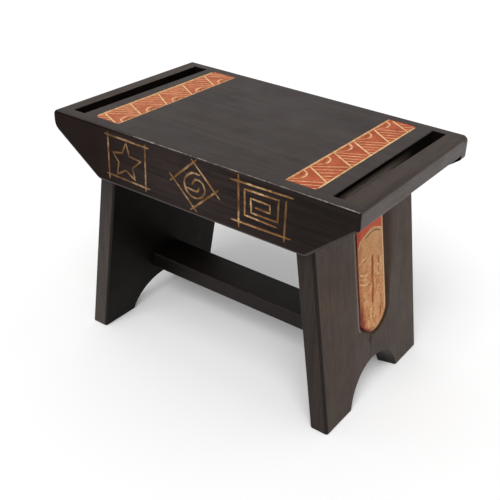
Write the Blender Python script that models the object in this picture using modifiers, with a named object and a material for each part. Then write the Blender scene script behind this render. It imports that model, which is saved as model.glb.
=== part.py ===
"""Carved wooden stool: eight dark stained boards, joined by blind dowels and two stub tenons.

Metres, +Z up. The origin lies on the floor below the middle of the seat. +X runs along the
seat's length, and the front apron faces -Y.
"""

import math

import bmesh
import bpy
from mathutils import Matrix, Vector

# Seat: a board between two aprons, with a hand slot and a carrying bar at each end
SEAT_LENGTH = 0.400
SEAT_DEPTH = 0.240
STOOL_HEIGHT = 0.287
SEAT_THICKNESS = 0.020
HANDLE_BAR_WIDTH = 0.0185
HAND_SLOT_WIDTH = 0.0195

# Aprons: full-height boards whose ends slant down to the legs
APRON_THICKNESS = 0.014
APRON_HEIGHT = 0.0667
APRON_LEFT_NOSE_RADIUS = 0.014
APRON_RIGHT_NOSE_RADIUS = 0.004
APRON_REAR_NOSE_DROP = 0.025
APRON_FOOT_RADIUS = 0.012
APRON_LEFT_INSET = 0.0115
APRON_RIGHT_INSET = 0.0015

# Legs: splayed planks with level ends, cut by a low arch
LEG_TOP_INSET = 0.0234
LEG_SPLAY = math.radians(8.64)
LEG_THICKNESS = 0.0228
FOOT_ARCH_WIDTH = 0.106
FOOT_ARCH_HEIGHT = 0.041
FOOT_ARCH_INNER_HEIGHT = 0.0357

# Masks: a long raised shape in a scooped hollow of each leg, measured along the leg's outer face
MASK_WIDTH = 0.0566
MASK_OFFSET = 0.0075
MASK_CHIN_LIFT = 0.0741
MASK_CHIN_ROUND = 0.0224
MASK_TOP_INSET = 0.027
MASK_SINK = 0.0010
MASK_WALL_WIDTH = 0.0009
HOLLOW_DEPTH = 0.0055
HOLLOW_CHIN_DEPTH = 0.0030
HOLLOW_NEAR_WIDTH = 0.0077
HOLLOW_FAR_WIDTH = 0.0225
HOLLOW_CHIN_WIDTH = 0.0042
HOLLOW_RUN_OUT = 0.105

# Stretcher: a flat rail with a stub tenon at each end
STRETCHER_WIDTH = 0.048
STRETCHER_THICKNESS = 0.0207
STRETCHER_LIFT = 0.0552
TENON_LENGTH = 0.012
TENON_WIDTH = 0.030
TENON_THICKNESS = 0.010

# Dowels: one size of rod, cut to the depths of its two blind holes
DOWEL_DIAMETER = 0.006
DOWEL_DEPTH_APRON = 0.009
DOWEL_DEPTH_BOARD = 0.022
DOWEL_DEPTH_SEAT = 0.012
LEG_DOWEL_EDGE = 0.010
LEG_TOP_DOWEL_INSET = 0.034
SEAT_DOWEL_SPACING = 0.090

CLEARANCE = 0.0003
CUT_OVERRUN = 0.005
EDGE_ROUND = 0.0010
EDGE_SEGMENTS = 2
FILLET_STEPS = 6
ARCH_STEPS = 16
MASK_SIDE_STEPS = 6
MASK_ROUND_STEPS = 10
DOWEL_SIDES = 16
WELD_DISTANCE = 0.00001
FLAT_ANGLE = math.radians(0.5)

# Places that follow from the sizes above
SEAT_UNDERSIDE = STOOL_HEIGHT - SEAT_THICKNESS
SEAT_MIDDLE = STOOL_HEIGHT - SEAT_THICKNESS / 2
APRON_FOOT = STOOL_HEIGHT - APRON_HEIGHT
APRON_INNER_FACE = SEAT_DEPTH / 2 - APRON_THICKNESS
BOARD_HALF_DEPTH = APRON_INNER_FACE - CLEARANCE
SEAT_BOARD_HALF_LENGTH = SEAT_LENGTH / 2 - HANDLE_BAR_WIDTH - HAND_SLOT_WIDTH
HANDLE_BAR_CENTRE = SEAT_LENGTH / 2 - HANDLE_BAR_WIDTH / 2
LEG_SLOPE = math.tan(LEG_SPLAY)
LEG_LEVEL_THICKNESS = LEG_THICKNESS / math.cos(LEG_SPLAY)
LEG_HEIGHT = SEAT_UNDERSIDE - CLEARANCE
LEG_FACE_LENGTH = LEG_HEIGHT / math.cos(LEG_SPLAY)
MASK_SPINE_FOOT = MASK_CHIN_LIFT + MASK_CHIN_ROUND
MASK_SPINE_TOP = LEG_FACE_LENGTH - MASK_TOP_INSET - MASK_WIDTH / 2
STRETCHER_TOP = STRETCHER_LIFT + STRETCHER_THICKNESS
STRETCHER_MIDDLE = STRETCHER_LIFT + STRETCHER_THICKNESS / 2

# How a drawn outline stands in the stool: seen from the front (X, Z) or from the end (Y, Z)
FRONT_VIEW = Matrix(((1, 0, 0, 0), (0, 0, -1, 0), (0, 1, 0, 0), (0, 0, 0, 1)))
END_VIEW = Matrix(((0, 0, 1, 0), (1, 0, 0, 0), (0, 1, 0, 0), (0, 0, 0, 1)))
ALONG_Y = (math.pi / 2, 0, 0)
ALONG_Z = (0, 0, 0)


def leg_outer_face(height):
    """Distance of a leg's outer face from the stool's middle, at a height above the floor."""
    top = SEAT_BOARD_HALF_LENGTH - LEG_TOP_INSET
    return top + LEG_SLOPE * (SEAT_UNDERSIDE - height)


def leg_inner_face(height):
    return leg_outer_face(height) - LEG_LEVEL_THICKNESS


def leg_middle(height):
    return leg_outer_face(height) - LEG_LEVEL_THICKNESS / 2


def new_collection(name):
    made = bpy.data.collections.new(name)
    bpy.context.scene.collection.children.link(made)
    return made


def wood(name, colour, roughness):
    """A wood finish with a stain colour (linear RGB) and a gloss."""
    material = bpy.data.materials.new(name)
    material.use_nodes = True
    shader = material.node_tree.nodes["Principled BSDF"]
    shader.inputs["Base Color"].default_value = (*colour, 1)
    shader.inputs["Roughness"].default_value = roughness
    shader.inputs["Metallic"].default_value = 0
    return material


def add_piece(name, mesh, material, location=(0, 0, 0), rotation=ALONG_Z):
    piece = bpy.data.objects.new(name, mesh)
    piece.location = location
    piece.rotation_euler = rotation
    piece.parent = stool
    piece.data.materials.append(material)
    parts.objects.link(piece)
    return piece


def add_cutter(name, mesh, location, rotation=ALONG_Z):
    cutter = bpy.data.objects.new(name, mesh)
    cutter.location = location
    cutter.rotation_euler = rotation
    cutter.parent = stool
    cutter.hide_render = True
    cutter.display_type = "WIRE"
    cutters.objects.link(cutter)
    return cutter


def combine(piece, other, operation):
    boolean = piece.modifiers.new(other.name, "BOOLEAN")
    boolean.operation = operation
    boolean.solver = "EXACT"
    boolean.object = other


def round_edges(piece):
    """Breaks the sharp edges of a board, as sanding does."""
    bevel = piece.modifiers.new("sanded_edges", "BEVEL")
    bevel.width = EDGE_ROUND
    bevel.segments = EDGE_SEGMENTS
    bevel.limit_method = "ANGLE"
    bevel.angle_limit = math.radians(40)


def box_mesh(name, length, depth, height):
    shape = bmesh.new()
    bmesh.ops.create_cube(shape, size=1, matrix=Matrix.Diagonal((length, depth, height, 1)))
    mesh = bpy.data.meshes.new(name)
    shape.to_mesh(mesh)
    shape.free()
    return mesh


def rod_mesh(name, diameter, length):
    shape = bmesh.new()
    radius = diameter / 2
    bmesh.ops.create_cone(
        shape, cap_ends=True, segments=DOWEL_SIDES, radius1=radius, radius2=radius, depth=length
    )
    mesh = bpy.data.meshes.new(name)
    shape.to_mesh(mesh)
    shape.free()
    mesh.shade_smooth()
    mesh.set_sharp_from_angle(angle=math.radians(50))
    return mesh


def filleted(corners):
    """The points of a closed outline whose corners, each (across, up, radius), are rounded."""
    points = []
    for index, (across, up, radius) in enumerate(corners):
        corner = Vector((across, up))
        before = (Vector(corners[index - 1][:2]) - corner).normalized()
        after = (Vector(corners[(index + 1) % len(corners)][:2]) - corner).normalized()
        if radius == 0:
            points.append(corner)
            continue
        half_angle = before.angle(after) / 2
        reach = radius / math.tan(half_angle)
        centre = corner + (before + after).normalized() * radius / math.sin(half_angle)
        start = math.atan2(*(corner + before * reach - centre).yx)
        stop = math.atan2(*(corner + after * reach - centre).yx)
        turn = math.remainder(stop - start, 2 * math.pi)
        for step in range(FILLET_STEPS + 1):
            angle = start + turn * step / FILLET_STEPS
            points.append(centre + Vector((math.cos(angle), math.sin(angle))) * radius)
    return points


def plank_mesh(name, outline, thickness, view):
    """A board cut to an outline: a flat curve extruded to both sides, then made a mesh."""
    curve = bpy.data.curves.new(name, "CURVE")
    curve.dimensions = "2D"
    curve.fill_mode = "BOTH"
    curve.extrude = thickness / 2
    spline = curve.splines.new("POLY")
    spline.points.add(len(outline) - 1)
    for point, (across, up) in zip(spline.points, outline):
        point.co = (across, up, 0, 1)
    spline.use_cyclic_u = True
    drawn = bpy.data.objects.new(name, curve)
    cutters.objects.link(drawn)
    graph = bpy.context.evaluated_depsgraph_get()
    mesh = bpy.data.meshes.new_from_object(drawn.evaluated_get(graph))
    bpy.data.objects.remove(drawn)
    shape = bmesh.new()
    shape.from_mesh(mesh)
    bmesh.ops.remove_doubles(shape, verts=shape.verts, dist=WELD_DISTANCE)
    bmesh.ops.dissolve_limit(
        shape, angle_limit=FLAT_ANGLE, verts=shape.verts, edges=shape.edges
    )
    bmesh.ops.recalc_face_normals(shape, faces=shape.faces)
    shape.to_mesh(mesh)
    shape.free()
    mesh.transform(view)
    return mesh


def make_seat_board():
    mesh = box_mesh(
        "seat_board", 2 * SEAT_BOARD_HALF_LENGTH, 2 * BOARD_HALF_DEPTH, SEAT_THICKNESS
    )
    board = add_piece(
        "seat_board", mesh, wood("seat_stain", (0.020, 0.016, 0.015), 0.38), (0, 0, SEAT_MIDDLE)
    )
    round_edges(board)
    return board


def apron_outline(rise, right_drop):
    """The front view of an apron, whose top edge stands a rise above the seat.

    The ends drop straight, on the left by the seat's thickness, then slant in to the legs.
    """
    nose = SEAT_LENGTH / 2
    left_foot = leg_outer_face(APRON_FOOT) - APRON_LEFT_INSET
    right_foot = leg_outer_face(APRON_FOOT) - APRON_RIGHT_INSET
    return filleted(
        (
            (-nose, rise, 0),
            (-nose, -SEAT_THICKNESS, APRON_LEFT_NOSE_RADIUS),
            (-left_foot, -APRON_HEIGHT, APRON_FOOT_RADIUS),
            (right_foot, -APRON_HEIGHT, APRON_FOOT_RADIUS),
            (nose, -right_drop, APRON_RIGHT_NOSE_RADIUS),
            (nose, rise, 0),
        )
    )


def make_nose_shape():
    """The aprons' outline through the whole depth, which rounds the bars to the same nose."""
    outline = apron_outline(CUT_OVERRUN, SEAT_THICKNESS)
    mesh = plank_mesh("nose_shape", outline, SEAT_DEPTH, FRONT_VIEW)
    return add_cutter("nose_shape", mesh, (0, 0, STOOL_HEIGHT))


def make_handle_bar(name, side):
    """A carrying bar, outside the hand slot at one end of the seat."""
    mesh = box_mesh(
        name, HANDLE_BAR_WIDTH + CUT_OVERRUN, 2 * BOARD_HALF_DEPTH, SEAT_THICKNESS
    )
    bar = add_piece(
        name,
        mesh,
        wood(name + "_stain", (0.024, 0.019, 0.017), 0.40),
        (side * (HANDLE_BAR_CENTRE + CUT_OVERRUN / 2), 0, SEAT_MIDDLE),
    )
    combine(bar, nose_shape, "INTERSECT")
    round_edges(bar)
    return bar


def make_apron(name, side, right_drop):
    """A board as long as the seat, whose ends slant in below it; the right end drops straight first."""
    apron = add_piece(
        name,
        plank_mesh(name, apron_outline(0, right_drop), APRON_THICKNESS, FRONT_VIEW),
        wood(name + "_stain", (0.016, 0.012, 0.011), 0.42),
        (0, side * (SEAT_DEPTH - APRON_THICKNESS) / 2, STOOL_HEIGHT),
    )
    round_edges(apron)
    return apron


def mask_outline():
    """The mask's edge on a leg's face: each point with the way out from the mask there."""
    half_width = MASK_WIDTH / 2
    points = []
    for side, start, stop, reach in (
        (1, MASK_SPINE_FOOT, MASK_SPINE_TOP, half_width),
        (-1, MASK_SPINE_TOP, MASK_SPINE_FOOT, MASK_CHIN_ROUND),
    ):
        for step in range(MASK_SIDE_STEPS):
            up = start + (stop - start) * step / MASK_SIDE_STEPS
            points.append((Vector((MASK_OFFSET + side * half_width, up)), Vector((side, 0))))
        for step in range(MASK_ROUND_STEPS):
            angle = math.pi * step / MASK_ROUND_STEPS
            way = Vector((side * math.cos(angle), side * math.sin(angle)))
            across = MASK_OFFSET + way.x * half_width
            points.append((Vector((across, stop + way.y * reach)), way))
    return points


def smooth_step(share):
    share = min(max(share, 0), 1)
    return share * share * (3 - 2 * share)


def mask_hollow_mesh(name):
    """What is scooped out round a mask and shaved off its top, in the frame of a leg's face."""
    rings = [[], [], [], []]
    for edge, way in mask_outline():
        rise = smooth_step((edge.y - MASK_CHIN_LIFT) / HOLLOW_RUN_OUT)
        far_width = HOLLOW_CHIN_WIDTH + (HOLLOW_FAR_WIDTH - HOLLOW_CHIN_WIDTH) * rise
        near_rise = smooth_step((edge.y - MASK_CHIN_LIFT) / MASK_CHIN_ROUND)
        near_width = HOLLOW_CHIN_WIDTH + (HOLLOW_NEAR_WIDTH - HOLLOW_CHIN_WIDTH) * near_rise
        depth = HOLLOW_CHIN_DEPTH + (HOLLOW_DEPTH - HOLLOW_CHIN_DEPTH) * near_rise
        width = near_width + (far_width - near_width) * (way.x + 1) / 2
        foot = edge + way * MASK_WALL_WIDTH
        rim = edge + way * width
        rings[0].append((*edge, -MASK_SINK))
        rings[1].append((*foot, -depth))
        rings[2].append((*rim, 0))
        rings[3].append((*rim, CUT_OVERRUN))
    shape = bmesh.new()
    loops = [[shape.verts.new(point) for point in ring] for ring in rings]
    for inner, outer in zip(loops, loops[1:]):
        for place in range(len(inner)):
            shape.faces.new((inner[place - 1], inner[place], outer[place], outer[place - 1]))
    shape.faces.new(loops[0])
    shape.faces.new(loops[-1])
    bmesh.ops.recalc_face_normals(shape, faces=shape.faces)
    mesh = bpy.data.meshes.new(name)
    shape.to_mesh(mesh)
    shape.free()
    return mesh


def make_leg(name, side):
    """A plank with level ends, leaning outwards to the floor, on two feet beside an arch.

    The arch was sawn down towards the inner face, so it is lower there.
    """
    half_arch = FOOT_ARCH_WIDTH / 2
    radius = (half_arch**2 + FOOT_ARCH_HEIGHT**2) / (2 * FOOT_ARCH_HEIGHT)
    drop = radius - FOOT_ARCH_HEIGHT
    half_sweep = math.atan2(half_arch, drop)
    outline = [
        Vector((BOARD_HALF_DEPTH, 0)),
        Vector((BOARD_HALF_DEPTH, LEG_HEIGHT)),
        Vector((-BOARD_HALF_DEPTH, LEG_HEIGHT)),
        Vector((-BOARD_HALF_DEPTH, 0)),
    ]
    for step in range(ARCH_STEPS + 1):
        angle = half_sweep * (2 * step / ARCH_STEPS - 1)
        outline.append(Vector((math.sin(angle) * radius, math.cos(angle) * radius - drop)))
    mesh = plank_mesh(name, outline, LEG_LEVEL_THICKNESS, END_VIEW)
    for corner in mesh.vertices:
        if corner.co.x * side < 0 and corner.co.z < FOOT_ARCH_HEIGHT + WELD_DISTANCE:
            corner.co.z *= FOOT_ARCH_INNER_HEIGHT / FOOT_ARCH_HEIGHT
    lean = Matrix.Identity(4)
    lean[0][2] = -side * LEG_SLOPE
    mesh.transform(lean)
    leg = add_piece(
        name, mesh, wood(name + "_stain", (0.030, 0.023, 0.020), 0.40), (side * leg_middle(0), 0, 0)
    )
    round_edges(leg)
    face_turn = Matrix.Rotation(-LEG_SPLAY, 4, "Y") @ END_VIEW
    half_turn = Matrix.Rotation(0 if side > 0 else math.pi, 4, "Z")
    hollow_mesh = mask_hollow_mesh(name + "_mask_hollow")
    hollow_mesh.transform(half_turn @ face_turn)
    hollow = add_cutter(name + "_mask_hollow", hollow_mesh, (side * leg_outer_face(0), 0, 0))
    combine(leg, hollow, "DIFFERENCE")
    return leg


def make_stretcher():
    """A flat rail whose ends follow the legs' lean, with a tenon standing out at each end."""
    lower = leg_inner_face(STRETCHER_LIFT) - CLEARANCE
    upper = leg_inner_face(STRETCHER_TOP) - CLEARANCE
    outline = (
        (-lower, STRETCHER_LIFT),
        (lower, STRETCHER_LIFT),
        (upper, STRETCHER_TOP),
        (-upper, STRETCHER_TOP),
    )
    rail = add_piece(
        "stretcher",
        plank_mesh("stretcher", outline, STRETCHER_WIDTH, FRONT_VIEW),
        wood("stretcher_stain", (0.018, 0.014, 0.013), 0.42),
    )
    round_edges(rail)
    return rail


def tenon_block(name, clearance):
    """A bar as long as the stretcher with both tenons, or the mortises that take them."""
    length = 2 * (leg_inner_face(STRETCHER_MIDDLE) + TENON_LENGTH + clearance)
    mesh = box_mesh(
        name, length, TENON_WIDTH + 2 * clearance, TENON_THICKNESS + 2 * clearance
    )
    return add_cutter(name, mesh, (0, 0, STRETCHER_MIDDLE))


def fit_dowel(name, start, stop, first, second):
    """A dowel between two points, in a blind hole that is cut into both boards."""
    start = Vector(start)
    stop = Vector(stop)
    length = (stop - start).length
    middle = (start + stop) / 2
    turn = ALONG_Z if start.xy == stop.xy else ALONG_Y
    add_piece(name, rod_mesh(name, DOWEL_DIAMETER, length), dowel_wood, middle, turn)
    hole = add_cutter(
        name + "_hole",
        rod_mesh(name + "_hole", DOWEL_DIAMETER + 2 * CLEARANCE, length + 2 * CLEARANCE),
        middle,
        turn,
    )
    combine(first, hole, "DIFFERENCE")
    combine(second, hole, "DIFFERENCE")


def fit_apron_dowel(name, across, height, side, apron, board):
    """A dowel along the stool's depth, from an apron into the edge of the board behind it."""
    start = (across, side * (APRON_INNER_FACE + DOWEL_DEPTH_APRON), height)
    stop = (across, side * (APRON_INNER_FACE - DOWEL_DEPTH_BOARD), height)
    fit_dowel(name, start, stop, apron, board)


for old in list(bpy.data.objects):
    bpy.data.objects.remove(old)

parts = new_collection("carved_wooden_stool")
cutters = new_collection("stool_cutters")
stool = bpy.data.objects.new("stool", None)
parts.objects.link(stool)
dowel_wood = wood("pale_dowel_wood", (0.50, 0.34, 0.19), 0.60)

seat_board = make_seat_board()
nose_shape = make_nose_shape()
handle_bars = {"left": make_handle_bar("left_handle_bar", -1)}
handle_bars["right"] = make_handle_bar("right_handle_bar", 1)
aprons = {"front": make_apron("front_apron", -1, SEAT_THICKNESS)}
aprons["rear"] = make_apron("rear_apron", 1, APRON_REAR_NOSE_DROP)
legs = {"left": make_leg("left_leg", -1), "right": make_leg("right_leg", 1)}
stretcher = make_stretcher()

combine(stretcher, tenon_block("stretcher_tenons", 0), "UNION")
mortises = tenon_block("stretcher_mortises", CLEARANCE)
for leg in legs.values():
    combine(leg, mortises, "DIFFERENCE")

ENDS = {"left": -1, "right": 1}
SIDES = {"front": -1, "rear": 1}
LEG_DOWEL_HEIGHTS = {
    "upper": SEAT_UNDERSIDE - LEG_DOWEL_EDGE,
    "lower": APRON_FOOT + LEG_DOWEL_EDGE,
}
SEAT_DOWEL_PLACES = {"left": -SEAT_DOWEL_SPACING, "middle": 0, "right": SEAT_DOWEL_SPACING}

for side_name, side in SIDES.items():
    apron = aprons[side_name]
    for place_name, place in SEAT_DOWEL_PLACES.items():
        dowel_name = f"{side_name}_seat_dowel_{place_name}"
        fit_apron_dowel(dowel_name, place, SEAT_MIDDLE, side, apron, seat_board)
    for end_name, end in ENDS.items():
        bar_dowel_name = f"{side_name}_handle_dowel_{end_name}"
        bar_place = end * HANDLE_BAR_CENTRE
        fit_apron_dowel(bar_dowel_name, bar_place, SEAT_MIDDLE, side, apron, handle_bars[end_name])
        for level_name, level in LEG_DOWEL_HEIGHTS.items():
            leg_dowel_name = f"{side_name}_leg_dowel_{end_name}_{level_name}"
            leg_place = end * leg_middle(level)
            fit_apron_dowel(leg_dowel_name, leg_place, level, side, apron, legs[end_name])

LEG_TOP_DOWEL_PLACES = {
    "front": LEG_TOP_DOWEL_INSET - BOARD_HALF_DEPTH,
    "middle": 0,
    "rear": BOARD_HALF_DEPTH - LEG_TOP_DOWEL_INSET,
}
LEG_TOP_DOWEL_FOOT = SEAT_UNDERSIDE - DOWEL_DEPTH_BOARD

for end_name, end in ENDS.items():
    across = end * leg_middle(SEAT_UNDERSIDE - DOWEL_DEPTH_BOARD / 2)
    for place_name, place in LEG_TOP_DOWEL_PLACES.items():
        fit_dowel(
            f"{end_name}_leg_top_dowel_{place_name}",
            (across, place, LEG_TOP_DOWEL_FOOT),
            (across, place, SEAT_UNDERSIDE + DOWEL_DEPTH_SEAT),
            legs[end_name],
            seat_board,
        )
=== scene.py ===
import math
import random

import bmesh
import bpy
from mathutils import Matrix, Vector


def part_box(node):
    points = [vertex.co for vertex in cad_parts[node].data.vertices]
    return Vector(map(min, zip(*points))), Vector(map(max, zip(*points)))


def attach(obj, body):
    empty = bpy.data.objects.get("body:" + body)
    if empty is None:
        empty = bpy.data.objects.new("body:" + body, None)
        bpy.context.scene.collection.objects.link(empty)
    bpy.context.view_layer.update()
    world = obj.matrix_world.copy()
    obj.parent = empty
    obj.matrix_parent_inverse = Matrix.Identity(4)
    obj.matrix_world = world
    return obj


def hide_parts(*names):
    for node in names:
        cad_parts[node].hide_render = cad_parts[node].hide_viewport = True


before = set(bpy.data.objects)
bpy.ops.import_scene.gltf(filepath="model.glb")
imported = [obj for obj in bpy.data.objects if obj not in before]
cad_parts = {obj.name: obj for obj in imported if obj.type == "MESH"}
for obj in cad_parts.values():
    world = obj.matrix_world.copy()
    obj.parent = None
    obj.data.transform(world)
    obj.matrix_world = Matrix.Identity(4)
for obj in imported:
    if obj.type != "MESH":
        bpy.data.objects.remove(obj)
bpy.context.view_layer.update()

# Legs
# Two hardwood planks, sawn level at both ends and leaning outwards, with a low arch between the feet.
# They are stained dark and waxed, and pegged to the seat and the aprons with hidden dowels.

MM = 0.001
LEG_SPLAY = math.radians(8.64)
LEG_ARCH_WIDTH = 106
LEG_ARCH_RISE = 41
LEG_ARCH_INNER_SHARE = 0.87
LEG_ARCH_FAR_SHARE = 0.89
LEG_ARCH_STEPS = 40
LEG_EDGE_RADIUS = 3
LEG_SOLE_RADIUS = 1.7
LEG_ARCH_FOOT_RADIUS = 2.5
ROUND_STEPS = 10
EASED_STEPS = 4
WOOD_SLOT = 0
EDGE_SLOT = 1
# A Mix node's colour sockets go by number, because its other kinds have the same names
COLOUR_A = 6
COLOUR_B = 7
COLOUR_OUT = 2


def linear(hex_colour):
    """An sRGB hex colour as the linear RGBA that a shader's socket takes."""
    channels = [int(hex_colour[place:place + 2], 16) / 255 for place in (1, 3, 5)]
    return (*[c / 12.92 if c <= 0.04045 else ((c + 0.055) / 1.055) ** 2.4 for c in channels], 1)


def add_node(tree, kind, inputs=None, **settings):
    """Adds a shader node with its settings, and gives each input a value or a link."""
    node = tree.nodes.new(kind)
    for name, value in settings.items():
        setattr(node, name, value)
    for socket, value in (inputs or {}).items():
        if isinstance(value, bpy.types.NodeSocket):
            tree.links.new(value, node.inputs[socket])
        else:
            node.inputs[socket].default_value = value
    return node


def per_metre(grain, along, across):
    """Pattern repeats per metre on X, Y and Z, for marks of a size in mm along the grain and across it."""
    repeats = [1000 / across] * 3
    repeats[grain] = 1000 / along
    return repeats


def dark_stained_hardwood(name, grain, deep, pale, gloss, rubbed=None):
    """Hardwood under a near-black stain and a rubbed wax: long soft streaks, fine dark pores, a satin sheen.

    A rubbed edge has lost stain in patches, so a paler brown shows through there; on the front apron's top
    edge and the handle bars' edges this pale colour is also a painted highlight.
    """
    material = bpy.data.materials.new(name)
    material.use_nodes = True
    tree = material.node_tree
    shader = tree.nodes["Principled BSDF"]
    place = add_node(tree, "ShaderNodeTexCoord").outputs["Object"]
    # The pores are drawn three times as wide as real ones, which are too fine to show
    noises = []
    for along, across, detail, roughness, bend in ((170, 5, 5, 0.62, 0.5), (16, 0.8, 2, 0.5, 0)):
        spread = add_node(
            tree, "ShaderNodeMapping", {"Vector": place, "Scale": per_metre(grain, along, across)}
        )
        strength = {"Scale": 1, "Detail": detail, "Roughness": roughness, "Distortion": bend}
        noises.append(add_node(tree, "ShaderNodeTexNoise", {"Vector": spread.outputs[0], **strength}))
    streaks, pores = noises
    handling = add_node(
        tree, "ShaderNodeTexNoise", {"Vector": place, "Scale": 1000 / 45, "Detail": 4, "Roughness": 0.6}
    )
    coats = [(streaks, 0.33, 0.68, 1, pale), (pores, 0.54, 0.72, 0.65, "#0d0908")]
    if rubbed:
        wear = add_node(
            tree, "ShaderNodeTexNoise", {"Vector": place, "Scale": 1000 / 14, "Detail": 5, "Roughness": 0.65}
        )
        coats.append((wear, 0.45, 0.70, 0.75, rubbed))
    colour = linear(deep)
    shares = []
    for noise, none, full, most, coat in coats:
        share = add_node(
            tree,
            "ShaderNodeMapRange",
            {"Value": noise.outputs[0], "From Min": none, "From Max": full, "To Max": most},
        )
        shares.append(share.outputs[0])
        mix = add_node(
            tree,
            "ShaderNodeMix",
            {"Factor": shares[-1], COLOUR_A: colour, COLOUR_B: linear(coat)},
            data_type="RGBA",
        )
        colour = mix.outputs[COLOUR_OUT]
    sheen = add_node(
        tree,
        "ShaderNodeMapRange",
        {"Value": handling.outputs[0], "From Min": 0.3, "From Max": 0.7, "To Min": 0.36, "To Max": 0.50},
    )
    relief = add_node(
        tree,
        "ShaderNodeMath",
        {0: shares[1], 1: -0.8, 2: streaks.outputs[0]},
        operation="MULTIPLY_ADD",
    )
    bump = add_node(
        tree, "ShaderNodeBump", {"Height": relief.outputs[0], "Strength": 0.35, "Distance": 0.00025}
    )
    tree.links.new(colour, shader.inputs["Base Color"])
    tree.links.new(sheen.outputs[0], shader.inputs["Roughness"])
    tree.links.new(bump.outputs[0], shader.inputs["Normal"])
    shader.inputs["IOR"].default_value = 1.5
    shader.inputs["Specular IOR Level"].default_value = gloss
    return material


def tint_along(material, axis, start, stop, second, most):
    """Lays a second colour over a finish, a stain in some uses and painted light and shade in others: none
    at the start, in m along an axis, and the most at the stop.
    """
    tree = material.node_tree
    shader = tree.nodes["Principled BSDF"]
    first = shader.inputs["Base Color"].links[0].from_socket
    place = add_node(tree, "ShaderNodeTexCoord").outputs["Object"]
    far = add_node(tree, "ShaderNodeSeparateXYZ", {0: place}).outputs[axis]
    share = add_node(
        tree, "ShaderNodeMapRange", {"Value": far, "From Min": start, "From Max": stop, "To Max": most}
    )
    colour = add_node(
        tree,
        "ShaderNodeMix",
        {"Factor": share.outputs[0], COLOUR_A: first, COLOUR_B: linear(second)},
        data_type="RGBA",
    )
    tree.links.new(colour.outputs[COLOUR_OUT], shader.inputs["Base Color"])


def sawn_board(outline, thickness):
    """A board in mm: the outline lies across and up, and the thickness runs out from it."""
    shape = bmesh.new()
    back = shape.faces.new([shape.verts.new((across, up, 0)) for across, up in outline])
    grown = bmesh.ops.extrude_face_region(shape, geom=[back])["geom"]
    front = [part for part in grown if isinstance(part, bmesh.types.BMVert)]
    bmesh.ops.translate(shape, verts=front, vec=(0, 0, thickness))
    bmesh.ops.recalc_face_normals(shape, faces=shape.faces)
    return shape


def ease(shape, edges, radius):
    """Rounds off edges of a board, as a plane and sandpaper do, and gives them the edges' finish."""
    bmesh.ops.bevel(
        shape,
        geom=list(edges),
        offset=radius,
        offset_type="OFFSET",
        segments=EASED_STEPS,
        profile=0.5,
        affect="EDGES",
        material=EDGE_SLOT,
        clamp_overlap=True,
    )


def rim(shape, out):
    """The edges round the face of a board that lies at a distance out."""
    return [edge for edge in shape.edges if all(abs(corner.co.z - out) < 0.001 for corner in edge.verts)]


def add_board(name, shape, place, materials):
    """Makes a board of a shape in mm, placed in the stool."""
    mesh = bpy.data.meshes.new(name)
    shape.to_mesh(mesh)
    shape.free()
    mesh.transform(place)
    for material in materials:
        mesh.materials.append(material)
    board = bpy.data.objects.new(name, mesh)
    bpy.context.scene.collection.objects.link(board)
    return board


def cut(board, tool, material=None, operation="DIFFERENCE"):
    """Cuts a tool's shape out of a board, or joins it on, and leaves a finish on the new faces."""
    mesh = bpy.data.meshes.new("tool")
    tool.to_mesh(mesh)
    tool.free()
    if material:
        mesh.materials.append(material)
    held = bpy.data.objects.new("tool", mesh)
    bpy.context.scene.collection.objects.link(held)
    boolean = board.modifiers.new("cut", "BOOLEAN")
    boolean.operation = operation
    boolean.solver = "EXACT"
    boolean.use_self = True
    boolean.material_mode = "TRANSFER"
    boolean.object = held
    graph = bpy.context.evaluated_depsgraph_get()
    carved = bpy.data.meshes.new_from_object(board.evaluated_get(graph))
    board.modifiers.clear()
    board.data = carved
    bpy.data.objects.remove(held)


leg_low, leg_high = [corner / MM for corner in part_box("right_leg")]
LEG_SLOPE = math.tan(LEG_SPLAY)
leg_level_thickness = leg_high.x - leg_low.x - LEG_SLOPE * leg_high.z
leg_floor_edge = leg_high.x

leg_wood = dark_stained_hardwood("legs_dark_stained_hardwood", 2, "#322215", "#4c3624", 0.185)
tint_along(leg_wood, "Z", 0.14, 0.02, "#281a10", 0.4)
# Painted shade: the legs' rounded edges, soles and arch are near black.
leg_edge_shade_wood = dark_stained_hardwood("legs_edges_and_undersides_painted_shade", 2, "#15100d", "#241b17", 0.15)
# Painted shade: the legs' inner faces under the seat are near black, darkest in the front half.
leg_inner_shade_wood = dark_stained_hardwood("legs_inner_faces_painted_shade", 2, "#1d1713", "#2c241f", 0.05)
tint_along(leg_inner_shade_wood, "Y", 0.07, 0.01, "#0d0b08", 0.85)
# Painted light and shade: each leg's narrow sides get their own copy, darker on the right leg and lighter on
# the left, which darkens towards the top under the apron.
right_side_shaded_wood = dark_stained_hardwood("right_leg_sides_painted_shade", 2, "#241b17", "#382c27", 0.16)
left_side_lit_and_shaded_wood = dark_stained_hardwood("left_leg_sides_painted_light_and_shade", 2, "#312825", "#483d38", 0.2)
tint_along(left_side_lit_and_shaded_wood, "Z", 0.10, 0.22, "#17100e", 0.75)
# Painted highlight: a pale strip along the near rim of each leg's hollow.
leg_rim_highlight_wood = dark_stained_hardwood("legs_rims_painted_highlight", 2, "#594e46", "#70655d", 0.25)


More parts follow.
